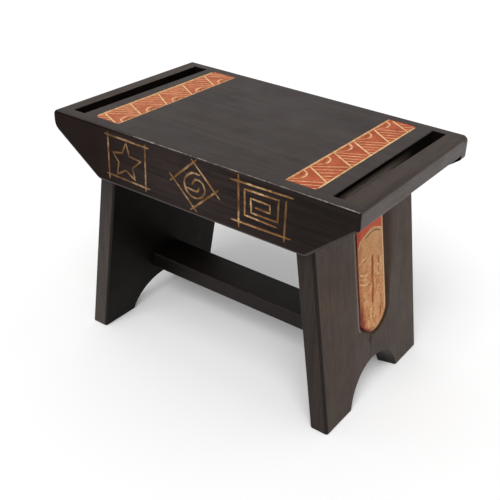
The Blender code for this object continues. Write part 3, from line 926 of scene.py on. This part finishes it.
STAR = (
    (-87.9, -11), (-84.2, -25), (-67.6, -26.5), (-80, -37.6), (-77, -51),
    (-89.9, -42.9), (-103.6, -51.4), (-100.3, -35.9), (-108.2, -26.4), (-94.4, -23.6),
)
STAR_FRAME = [
    [(-120, -7.2), (-54.8, -8)],
    [(-114.6, -3.5), (-115.6, -60.2)],
    [(-119.2, -53.9), (-55.4, -55.6)],
    [(-60.6, -5), (-61.8, -60)],
]
DIAMOND_FRAME = [
    [(-27.1, -35.9), (9.8, -1.9)],
    [(2.7, -3), (39.9, -37.5)],
    [(38.2, -27.3), (0.8, -61.1)],
    [(-27.6, -26.1), (9.8, -61.6)],
]
ROUND_SPIRAL = [
    [
        (14.2, -17.8), (3, -18.4), (-6.4, -27.8), (-4.6, -39.5), (4.5, -45.3),
        (15, -43), (20.4, -34.5), (16.8, -25.8), (8.2, -24.5), (3, -31.8),
    ],
    [(-5.1, -36.6), (4.4, -37.4), (10.4, -37.2), (13, -32.4)],
]
SQUARE_FRAME = [
    [(52.4, -9.6), (128.8, -8.1)],
    [(62.7, -1.8), (64.1, -61.2)],
    [(53.8, -54), (127.5, -52.7)],
    [(120.2, -13), (119.4, -58.6)],
]
SQUARE_SPIRAL = (
    (109.7, -45.2), (71.3, -44), (70.7, -15.7), (111.5, -15.1), (111, -39.2),
    (79.3, -39.1), (78.3, -23.5), (101.1, -23.9), (102, -32.6), (84.7, -32),
)

apron_low, apron_high = [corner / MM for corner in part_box("front_apron")]
apron_thickness = apron_high.y - apron_low.y


def apron_outline(feet, nose_radii, top_radii, left_drop=APRON_NOSE_DROP):
    """The face of an apron in mm, measured down from the seat's top; each pair is left and right."""
    nose = apron_high.x
    height = apron_high.z - apron_low.z
    return rounded(
        (
            (-nose, 0, top_radii[0]),
            (-nose, -left_drop, nose_radii[0]),
            (-feet[0], -height, APRON_FOOT_RADIUS),
            (feet[1], -height, APRON_FOOT_RADIUS),
            (nose, -APRON_NOSE_DROP, nose_radii[1]),
            (nose, 0, top_radii[1]),
        )
    )


def joined_strokes(points, closed=False):
    """Straight strokes from point to point, each a little long, as a carver overlaps them."""
    ends = zip(points, [*points[1:], points[0]] if closed else points[1:])
    strokes = []
    for start, stop in ends:
        way = (Vector(stop) - Vector(start)).normalized() * 1.0
        strokes.append([Vector(start) - way, Vector(stop) + way])
    return strokes


def apron_finish(face, small_nose):
    """Which finish a face of an apron has, when its crisp nose is on the side small_nose, 1 or -1.

    Only the front apron's upper edge is pale: worn, and a painted highlight along its rounding.
    """
    middle = face.calc_center_median()
    way = face.normal
    if face.material_index == WOOD_SLOT:
        # The back, under the seat, takes painted shade.
        if way.z < -0.9:
            return APRON_BACK_SLOT
        if way.y > 0.7:
            return SEAT_TOP_SLOT
        # Painted highlight on the crisp nose corner.
        if way.y < -0.1 and 0.7 < way.x * small_nose < 0.97:
            return UNDER_EDGE_SLOT
        return BAR_END_SLOT if abs(way.x) > 0.7 else WOOD_SLOT
    if middle.y > -APRON_EDGE_RADIUS and way.y > 0.3:
        if way.y > 0.9 or small_nose < 0:
            return SEAT_TOP_SLOT
        return EDGE_SLOT if way.y > 0.7 else WOOD_SLOT
    # The rounded lower edges: worn, and a painted highlight.
    return WOOD_SLOT if middle.y > -APRON_NOSE_DROP else UNDER_EDGE_SLOT


apron_wood = dark_stained_hardwood("aprons_dark_stained_hardwood", 0, "#231c1a", "#392f2c", 0.045)
tint_along(apron_wood, "X", -0.04, -0.14, "#180b06", 0.95)
tint_along(apron_wood, "X", 0.05, 0.14, "#181412", 0.6)
# Painted highlight: the front edge's pale finish is darkened towards the left end, so the highlight shows on
# the right part only.
tint_along(top_edge_wear_and_highlight, "X", -0.06, -0.12, "#241d1a", 0.9)
# The aprons' rounded lower edges and the crisp nose corner: a paler brown, partly wear and partly a painted
# highlight.
under_edge_wear_and_highlight = dark_stained_hardwood("aprons_lower_edges_wear_and_painted_highlight", 0, "#322823", "#4b3f38", 0.2)
# Painted shade: the aprons' backs under the seat and the bars' faces inside the slots are near black.
apron_back_shade_wood = dark_stained_hardwood("aprons_backs_painted_shade", 0, "#0d0a09", "#17120f", 0.03)
bar_wood = dark_stained_hardwood("bars_dark_stained_hardwood", 1, "#2b1f18", "#443429", 0.38)
gold_paint = old_paint("gold_ochre_groove_paint", "#8a6136", "#523416", "#d0ae82", 16)
tint_along(gold_paint, "X", 0.06, -0.04, "#3c2610", 0.35)
apron_strokes = [
    *joined_strokes(STAR, closed=True),
    *STAR_FRAME,
    *DIAMOND_FRAME,
    *ROUND_SPIRAL,
    *SQUARE_FRAME,
    *joined_strokes(SQUARE_SPIRAL),
]
for apron_name, order, turn, left_drop, top_radii in (
    ("front_apron", 1, 0, APRON_NOSE_DROP, APRON_TOP_RADII),
    ("rear_apron", -1, math.pi, APRON_REAR_NOSE_DROP, APRON_REAR_TOP_RADII),
):
    facing = Matrix.Rotation(turn, 4, "Z")
    on_back = facing @ Matrix.Translation((0, apron_high.y, apron_high.z)) @ UPRIGHT
    on_face = facing @ Matrix.Translation((0, apron_low.y, apron_high.z)) @ UPRIGHT
    outline = apron_outline(APRON_FRONT_FEET[::order], APRON_NOSE_RADII[::order], top_radii, left_drop)
    shape = sawn_board(outline, apron_thickness)
    ease(shape, rim(shape, apron_thickness), APRON_EDGE_RADIUS)
    under = [e for e in rim(shape, 0) if max(v.co.y for v in e.verts) < -APRON_NOSE_DROP - 1]
    ease(shape, under, APRON_EDGE_RADIUS)
    for face in shape.faces:
        face.material_index = apron_finish(face, order)
    finishes = [apron_wood, top_edge_wear_and_highlight, top_wood, bar_wood, under_edge_wear_and_highlight, apron_back_shade_wood]
    apron = add_board(apron_name + "_board", shape, on_back, finishes)
    hand = random.Random(apron_name)
    cut(apron, gouge_strokes(apron_strokes, 2.2, 1.0, on_face, hand), gold_paint)
    boards[apron_name] = apron

# Handle bars
# A narrow bar outside each hand slot, to lift the stool by, pegged between the ends of the aprons.
# Its outer side is shaped to the same rounded nose as the aprons, and worn smooth by hands.

BAR_EDGE_RADIUS = 1.4
BAR_RIGHT_FLARE = 3
BAR_INNER_SLOT = 2

# The bars' rounded edges: worn pale patches and a painted highlight.
bar_edge_wear_and_highlight = dark_stained_hardwood("bars_edge_wear_and_painted_highlight", 1, "#2d221d", "#463830", 0.45, rubbed="#6e5e52")
for bar_name, side in (("right_handle_bar", 1), ("left_handle_bar", -1)):
    bar_low, bar_high = [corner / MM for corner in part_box(bar_name)]
    inner = bar_low.x if side > 0 else bar_high.x
    outline = apron_outline(APRON_FRONT_FEET, APRON_NOSE_RADII, APRON_TOP_RADII)
    shape = sawn_board(outline, 2 * seat_half_depth)
    flare = BAR_RIGHT_FLARE if side > 0 else 0
    slot_way = (-side, 0, -flare / (2 * seat_half_depth))
    for point, way in (((inner - flare, 0, 0), slot_way), ((0, bar_low.z - bar_high.z, 0), (0, -1, 0))):
        sawn = bmesh.ops.bisect_plane(
            shape,
            geom=[*shape.verts, *shape.edges, *shape.faces],
            plane_co=point,
            plane_no=way,
            clear_outer=True,
        )
        cut_edges = [part for part in sawn["geom_cut"] if isinstance(part, bmesh.types.BMEdge)]
        bmesh.ops.edgenet_fill(shape, edges=cut_edges)
    bmesh.ops.recalc_face_normals(shape, faces=shape.faces)
    long_edges = [
        edge
        for edge in shape.edges
        if abs(edge.verts[0].co.z - edge.verts[1].co.z) > 1 and edge.calc_face_angle(0) > 0.9
    ]
    ease(shape, long_edges, BAR_EDGE_RADIUS)
    for face in shape.faces:
        # Painted highlight: the right bar's crisp nose corner takes the pale edge finish.
        if side > 0 and face.normal.y < -0.1 and 0.7 < face.normal.x < 0.97:
            face.material_index = EDGE_SLOT
        # The inner face, inside the slot, takes the same painted shade.
        elif face.normal.x * side < -0.9:
            face.material_index = BAR_INNER_SLOT
    boards[bar_name] = add_board(
        bar_name + "_rail",
        shape,
        Matrix.Translation((0, seat_half_depth, bar_high.z)) @ UPRIGHT,
        [bar_wood, bar_edge_wear_and_highlight, apron_back_shade_wood],
    )

# Dowels
# Short round pegs of plain pale hardwood, glued into blind holes, that hold the eight boards together.
# They don't show once the stool is put together; each hole is a loose fit round its dowel.

HOLE_SIDES = 32


def dowel_hardwood():
    """Bare, unstained hardwood rod: pale, dry, with fine straight grain along the dowel."""
    material = bpy.data.materials.new("plain_dowel_hardwood")
    material.use_nodes = True
    tree = material.node_tree
    shader = tree.nodes["Principled BSDF"]
    place = add_node(tree, "ShaderNodeTexCoord").outputs["Object"]
    spread = add_node(tree, "ShaderNodeMapping", {"Vector": place, "Scale": per_metre(1, 20, 0.8)})
    fibres = add_node(
        tree, "ShaderNodeTexNoise", {"Vector": spread.outputs[0], "Scale": 1, "Detail": 4, "Roughness": 0.6}
    )
    colour = add_node(
        tree,
        "ShaderNodeMix",
        {"Factor": fibres.outputs[0], COLOUR_A: linear("#a9835a"), COLOUR_B: linear("#d3b48a")},
        data_type="RGBA",
    )
    bump = add_node(
        tree, "ShaderNodeBump", {"Height": fibres.outputs[0], "Strength": 0.3, "Distance": 0.0001}
    )
    tree.links.new(colour.outputs[COLOUR_OUT], shader.inputs["Base Color"])
    tree.links.new(bump.outputs[0], shader.inputs["Normal"])
    shader.inputs["Roughness"].default_value = 0.6
    return material


plain_dowel = dowel_hardwood()
holes = {node: bmesh.new() for node in boards}
for node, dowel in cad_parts.items():
    if "dowel" not in node:
        continue
    dowel.data.materials.clear()
    dowel.data.materials.append(plain_dowel)
    low, high = [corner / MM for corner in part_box(node)]
    size = high - low
    along = max(range(3), key=lambda axis: size[axis])
    turned = Matrix.Rotation(math.pi / 2, 4, "X") if along == 1 else Matrix.Identity(4)
    radius = min(size) / 2 + FIT
    for board_node, tool in holes.items():
        board_low, board_high = [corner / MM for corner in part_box(board_node)]
        reach = [min(high[i], board_high[i]) - max(low[i], board_low[i]) for i in range(3)]
        if min(reach) > 1:
            bmesh.ops.create_cone(
                tool,
                cap_ends=True,
                segments=HOLE_SIDES,
                radius1=radius,
                radius2=radius,
                depth=size[along] + 2 * FIT,
                matrix=Matrix.Translation((low + high) / 2) @ turned,
            )
for node, board in boards.items():
    if holes[node].faces:
        cut(board, holes[node])
    board.data.transform(Matrix.Scale(MM, 4))
    board.data.shade_smooth()
    board.data.set_sharp_from_angle(angle=math.radians(32))
    flat = board.modifiers.new("flat_faces_stay_flat", "WEIGHTED_NORMAL")
    flat.keep_sharp = True
    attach(board, "root")
    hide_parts(node)

# Floor and light
# A plain pale studio floor, white to the lens, under an even sky and one soft lamp from the right.
# The floor keeps the stool's shadow.

FLOOR_SIZE = 12
FLOOR_GLOW = 0.07
SKY_LEVEL = 0.5
LAMP_STRENGTH = 1.9
LAMP_TURN = (math.radians(33), math.radians(14), 0)
LAMP_SOFTNESS = math.radians(40)


def pale_floor():
    """Matt pale paper: white to the lens, a gloss or glass, and greyer in the light it sends back."""
    material = bpy.data.materials.new("pale_studio_paper")
    material.use_nodes = True
    tree = material.node_tree
    shader = tree.nodes["Principled BSDF"]
    path = add_node(tree, "ShaderNodeLightPath")
    seen = path.outputs["Is Camera Ray"]
    for ray in ("Is Glossy Ray", "Is Transmission Ray"):
        either = add_node(tree, "ShaderNodeMath", {0: seen, 1: path.outputs[ray]}, operation="MAXIMUM")
        seen = either.outputs[0]
    colour = add_node(
        tree,
        "ShaderNodeMix",
        {"Factor": seen, COLOUR_A: linear("#d8d8d8"), COLOUR_B: linear("#ffffff")},
        data_type="RGBA",
    )
    glow = add_node(tree, "ShaderNodeMath", {0: seen, 1: FLOOR_GLOW}, operation="MULTIPLY")
    tree.links.new(colour.outputs[COLOUR_OUT], shader.inputs["Base Color"])
    tree.links.new(glow.outputs[0], shader.inputs["Emission Strength"])
    shader.inputs["Emission Color"].default_value = (1, 1, 1, 1)
    shader.inputs["Roughness"].default_value = 0.9
    shader.inputs["Specular IOR Level"].default_value = 0
    return material


sheet = bmesh.new()
bmesh.ops.create_grid(sheet, x_segments=8, y_segments=8, size=FLOOR_SIZE / 2)
floor_mesh = bpy.data.meshes.new("studio_floor")
sheet.to_mesh(floor_mesh)
sheet.free()
floor_mesh.materials.append(pale_floor())
floor = bpy.data.objects.new("studio_floor", floor_mesh)
bpy.context.scene.collection.objects.link(floor)

sky = bpy.data.worlds.new("even_sky")
sky.use_nodes = True
sky.node_tree.nodes["Background"].inputs["Color"].default_value = (1, 1, 1, 1)
sky.node_tree.nodes["Background"].inputs["Strength"].default_value = SKY_LEVEL
bpy.context.scene.world = sky

lamp_data = bpy.data.lights.new("soft_lamp", "SUN")
lamp_data.energy = LAMP_STRENGTH
lamp_data.angle = LAMP_SOFTNESS
lamp = bpy.data.objects.new("soft_lamp", lamp_data)
lamp.rotation_euler = LAMP_TURN
bpy.context.scene.collection.objects.link(lamp)

# Camera
# It stands in front of the stool's right end, a metre away and above the seat, as in the photograph.
# It leans a little, and its picture is moved sideways to frame the stool.

CAMERA_PLACE = Vector((0.50460, -0.70705, 0.62586))
CAMERA_AZIMUTH = math.radians(33.343)
CAMERA_ELEVATION = math.radians(30.031)
CAMERA_ROLL = math.radians(2.742)
CAMERA_LENS = 59.50
CAMERA_SHIFT = -0.065

camera_data = bpy.data.cameras.new("camera")
camera_data.sensor_width = 36
camera_data.lens = CAMERA_LENS
camera_data.shift_x = CAMERA_SHIFT
camera = bpy.data.objects.new("camera", camera_data)
aim = Matrix.Rotation(CAMERA_AZIMUTH, 4, "Z") @ Matrix.Rotation(math.pi / 2 - CAMERA_ELEVATION, 4, "X")
camera.matrix_world = Matrix.Translation(CAMERA_PLACE) @ aim @ Matrix.Rotation(CAMERA_ROLL, 4, "Z")
bpy.context.scene.collection.objects.link(camera)
bpy.context.scene.camera = camera
bpy.context.scene.view_settings.view_transform = "Standard"
